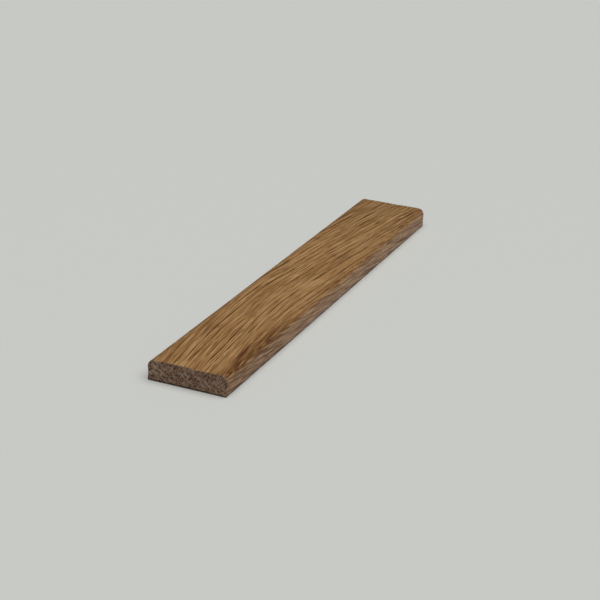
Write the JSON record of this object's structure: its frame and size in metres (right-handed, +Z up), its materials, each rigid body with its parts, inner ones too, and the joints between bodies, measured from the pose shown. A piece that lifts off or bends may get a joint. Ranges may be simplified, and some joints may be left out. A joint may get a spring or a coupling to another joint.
{
  "type": "threshold strip",
  "caption": "Flat solid oak threshold strip: planed tread face with both long edges rounded over, square sawn ends, flat underside for bonding in a doorway.",
  "frame": {"origin": "centre of the flat underside, on the floor", "axes": "+X along the doorway, the strip's length; +Y across it, from one floor to the other; +Z up, from the underside to the tread face"},
  "size_m": [0.3, 0.047, 0.012],
  "materials": {
    "oak": "planed and lightly sanded oak, low sheen"
  },
  "bodies": {
    "root": {"oak_strip": "oak"}
  },
  "joints": []
}
